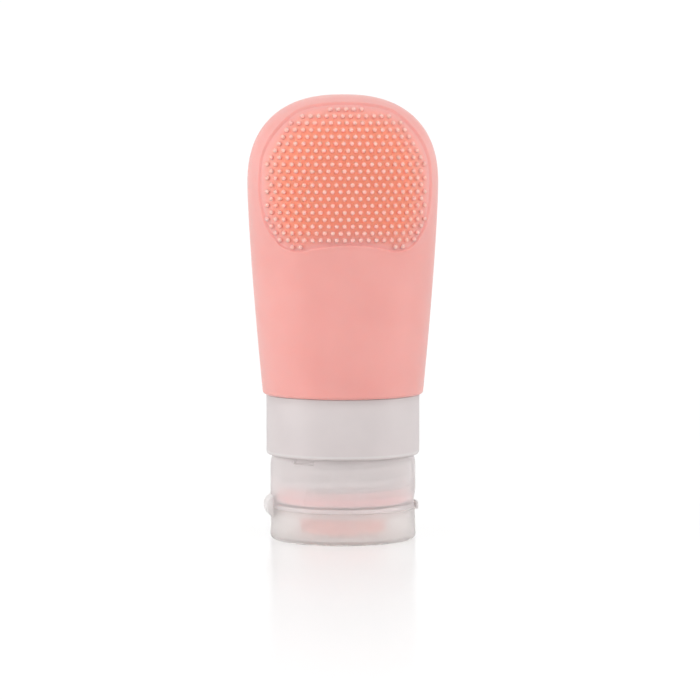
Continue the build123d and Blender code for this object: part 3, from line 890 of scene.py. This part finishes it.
# %% Frosted polypropylene
# The collar's pink tint is painted light: the coral glow of the silicone inside it, mixed into
# the plastic's colour.
FROST_PAINTED_PINK, FROST_CLEAR = (0.895, 0.825, 0.822), (0.985, 0.955, 0.947)
FROST_CAP, FROST_LID = (0.98, 0.942, 0.938), (0.945, 0.915, 0.903)
THIN_BEND, THICK_BEND = 1.12, 1.15


def frosted(name, pale, clear, rough, bend=1.45):
    """Frosted plastic that lets a share of the light straight through."""
    deep = [0.975 * c for c in pale]
    return moulded(name, pale, deep, rough, grain=5000.0, cloud=120.0, bump=0.12, lift=0.02,
                   Transmission_Weight=clear, IOR=bend, Specular_IOR_Level=0.5)


dress(cap, frosted("frosted_cap", FROST_CAP, 0.65, (0.38, 0.48), THIN_BEND)[0])
dress(lid, frosted("frosted_lid", FROST_LID, 0.76, (0.36, 0.44), THIN_BEND)[0])
thick_frost = frosted("frosted_thick", FROST_CLEAR, 0.35, (0.36, 0.44), THICK_BEND)[0]
for piece in (strap, tab):
    dress(piece, thick_frost)
inner_frost = frosted("frosted_inner", FROST_CLEAR, 0.3, (0.40, 0.50))[0]
for node in ("neck_insert", "valve_retainer"):
    dress(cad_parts[node], inner_frost)
print("frosted pieces:", [piece.data.materials[0].name for piece in (cap, lid, strap, tab)])

# %% The collar's plastic, with a painted highlight as one thin paler line around it
# A thin band near the hem is mixed towards white: a painted highlight of the hem's edge.
HIGHLIGHT_HEIGHT, HIGHLIGHT_CORE, HIGHLIGHT_FADE, HIGHLIGHT_SHARE = 21.1, 0.1, 0.35, 0.45
HIGHLIGHT_WHITE = (1, 1, 0.98, 1)
material, tree, surface, tone = frosted("frosted_collar", FROST_PAINTED_PINK, 0.35, (0.36, 0.46))
place = add(tree, "ShaderNodeTexCoord", (-1300, 700))
height = add(tree, "ShaderNodeSeparateXYZ", (-1100, 700))
off_highlight = add(tree, "ShaderNodeMath", (-900, 700), operation="SUBTRACT")
off_highlight.inputs[1].default_value = HIGHLIGHT_HEIGHT * MM
how_far = add(tree, "ShaderNodeMath", (-700, 700), operation="ABSOLUTE")
on_highlight = add(tree, "ShaderNodeMapRange", (-500, 700), From_Min=HIGHLIGHT_CORE * MM,
              From_Max=HIGHLIGHT_FADE * MM, To_Min=HIGHLIGHT_SHARE, To_Max=0.0)
paler = add(tree, "ShaderNodeMix", (-250, 500), data_type="RGBA")
paler.inputs["B"].default_value = HIGHLIGHT_WHITE
wire(tree,
     (place, "Object", height, "Vector"), (height, "Z", off_highlight, 0),
     (off_highlight, "Value", how_far, 0), (how_far, "Value", on_highlight, "Value"),
     (on_highlight, "Result", paler, "Factor"), (tone, "Result", paler, "A"),
     (paler, "Result", surface, "Base Color"))
dress(collar, material)
print("collar dressed in", material.name)

# %% [markdown]
# The studio is plain: a pale floor with a soft shine, a white world and four
# wide lamps, one at each side, one low in front and one above. The white
# behind the bottle comes from Light Path in the world and the floor, not from
# stronger lamps. To what looks through the plastic the floor is plain white.

# %% Helper: is this ray one that shows the background
def shows_background(tree):
    """A node that is 1 for camera, glossy and transmission rays, and 0 for the others."""
    path = add(tree, "ShaderNodeLightPath", (-900, 300))
    first = add(tree, "ShaderNodeMath", (-700, 300), operation="MAXIMUM")
    second = add(tree, "ShaderNodeMath", (-500, 300), operation="MAXIMUM")
    wire(tree, (path, "Is Camera Ray", first, 0), (path, "Is Glossy Ray", first, 1),
         (first, "Value", second, 0), (path, "Is Transmission Ray", second, 1))
    return second


# %% World
WORLD_LIGHT, PAPER_WHITE, WHITE = 0.56, 1.03, (1, 1, 1, 1)
world = bpy.data.worlds.new("studio")
bpy.context.scene.world = world
world.use_nodes = True
tree = world.node_tree
tree.nodes.clear()
soft = add(tree, "ShaderNodeBackground", (-200, 0), Color=WHITE, Strength=WORLD_LIGHT)
white = add(tree, "ShaderNodeBackground", (-200, 200), Color=WHITE, Strength=PAPER_WHITE)
choose = add(tree, "ShaderNodeMixShader", (0, 100))
out = add(tree, "ShaderNodeOutputWorld", (200, 100))
wire(tree,
     (shows_background(tree), "Value", choose, "Fac"), (soft, "Background", choose, 1),
     (white, "Background", choose, 2), (choose, "Shader", out, "Surface"))
print("world:", len(tree.nodes), "nodes")

# %% Floor
FLOOR_SIZE, FLOOR_DROP = 6, 0.02 * MM
start_fresh()
bpy.ops.mesh.primitive_plane_add(size=FLOOR_SIZE, location=(0, 0, -FLOOR_DROP))
floor = bpy.context.object
floor.name = "floor"
bpy.ops.object.transform_apply(location=True)
print("floor:", FLOOR_SIZE, "m wide")

# %% The floor's material
FLOOR_GREY, THIN_GREY = (0.8, 0.8, 0.8, 1), (0.32, 0.32, 0.32, 1)
GLOW, SHINE, SHINE_REACH, SHINE_ROUGH = 0.73, 0.47, 0.235, 0.17
WHITE_FROM, WHITE_BEYOND = 0.12, 0.45  # metres from the bottle
floor_white = bpy.data.materials.new("floor_white")
floor_white.use_nodes = True
tree = floor_white.node_tree
tree.nodes.clear()
matt = add(tree, "ShaderNodeBsdfDiffuse", (-400, 0), Color=FLOOR_GREY)
thin = add(tree, "ShaderNodeBsdfDiffuse", (-600, -100), Color=THIN_GREY)
glow = add(tree, "ShaderNodeEmission", (-600, -250), Color=WHITE, Strength=GLOW)
lit = add(tree, "ShaderNodeAddShader", (-400, -150))
shine = add(tree, "ShaderNodeBsdfGlossy", (-400, -300), Color=WHITE, Roughness=SHINE_ROUGH)
white = add(tree, "ShaderNodeEmission", (-200, -250), Color=WHITE, Strength=PAPER_WHITE)
place = add(tree, "ShaderNodeTexCoord", (-1300, -500))
away = add(tree, "ShaderNodeVectorMath", (-1100, -500), operation="LENGTH")
weaker = add(tree, "ShaderNodeMapRange", (-900, -500),
             From_Min=0.0, From_Max=SHINE_REACH, To_Min=SHINE, To_Max=0.0)
far = add(tree, "ShaderNodeMapRange", (-900, -750), From_Min=WHITE_FROM, From_Max=WHITE_BEYOND)
gloss = add(tree, "ShaderNodeMixShader", (-100, 0))
spread = add(tree, "ShaderNodeMixShader", (50, 0))
plain = add(tree, "ShaderNodeMixShader", (200, 100))
path = add(tree, "ShaderNodeLightPath", (200, 400))
through = add(tree, "ShaderNodeMixShader", (400, 100))
out = add(tree, "ShaderNodeOutputMaterial", (600, 100))
wire(tree,
     (place, "Object", away, 0), (away, "Value", weaker, "Value"), (away, "Value", far, "Value"),
     (thin, "BSDF", lit, 0), (glow, "Emission", lit, 1), (far, "Result", spread, "Fac"),
     (lit, "Shader", spread, 1), (white, "Emission", spread, 2),
     (weaker, "Result", gloss, "Fac"), (spread, "Shader", gloss, 1), (shine, "BSDF", gloss, 2),
     (shows_background(tree), "Value", plain, "Fac"), (matt, "BSDF", plain, 1),
     (gloss, "Shader", plain, 2), (path, "Is Transmission Ray", through, "Fac"),
     (plain, "Shader", through, 1), (white, "Emission", through, 2),
     (through, "Shader", out, "Surface"))
dress(floor, floor_white)
print("floor material:", len(tree.nodes), "nodes")


# %% Lamps
def softbox(name, at, size, power, towards=(0, 0, 0.055)):
    """A wide soft lamp that faces the bottle."""
    light = bpy.data.lights.new(name, "AREA")
    light.shape = "RECTANGLE"
    light.size, light.size_y = size
    light.energy = power
    lamp = bpy.data.objects.new(name, light)
    bpy.context.collection.objects.link(lamp)
    lamp.location = at
    lamp.rotation_euler = (Vector(towards) - Vector(at)).to_track_quat("-Z", "Y").to_euler()
    return lamp


softbox("left_softbox", (-0.75, -0.15, 0.20), (0.45, 0.9), 3.5)
softbox("right_softbox", (0.75, -0.15, 0.20), (0.45, 0.9), 2.8)
softbox("front_softbox", (0.0, -0.95, 0.10), (0.8, 0.4), 1.75)
softbox("top_softbox", (0.0, -0.35, 0.85), (0.6, 0.4), 1.6)

# %% Finish
bpy.context.view_layer.update()
